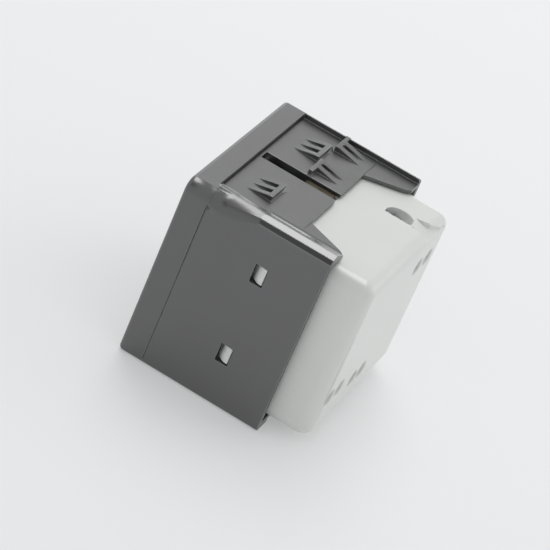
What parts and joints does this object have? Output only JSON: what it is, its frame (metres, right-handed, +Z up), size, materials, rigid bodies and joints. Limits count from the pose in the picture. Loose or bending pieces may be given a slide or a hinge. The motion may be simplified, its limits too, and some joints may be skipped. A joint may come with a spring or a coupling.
{
  "type": "schuko socket insert",
  "caption": "Earthed two-pin socket insert: dark snap-in front cover with the round plug well, white rear housing with screw terminals and wire entries.",
  "frame": {"origin": "centre of the bounding box in plan, at the height of its lowest face", "axes": "+Z up, +Y from the front face with the plug well towards the rear housing, +X towards the side with the sloping rail"},
  "size_m": [0.05, 0.0446, 0.0456],
  "materials": {
    "dark_plastic": "fine matt moulded",
    "white_plastic": "satin moulded",
    "contact_brass": "bright",
    "spring_steel": "satin",
    "zinc_steel": "zinc plated"
  },
  "bodies": {
    "root": {"front_cover": "dark_plastic", "rear_housing": "white_plastic", "pole_contact_far": "contact_brass", "pole_contact_near": "contact_brass", "fork_spring_far": "spring_steel", "fork_spring_near": "spring_steel", "earth_strip": "contact_brass", "earth_bar": "contact_brass", "earth_rivets": "contact_brass", "terminal_block_far": "contact_brass", "terminal_block_near": "contact_brass", "terminal_block_earth": "contact_brass", "clamp_plate_far": "zinc_steel", "clamp_plate_near": "zinc_steel", "clamp_plate_earth": "zinc_steel", "terminal_screws": "zinc_steel"}
  },
  "joints": []
}
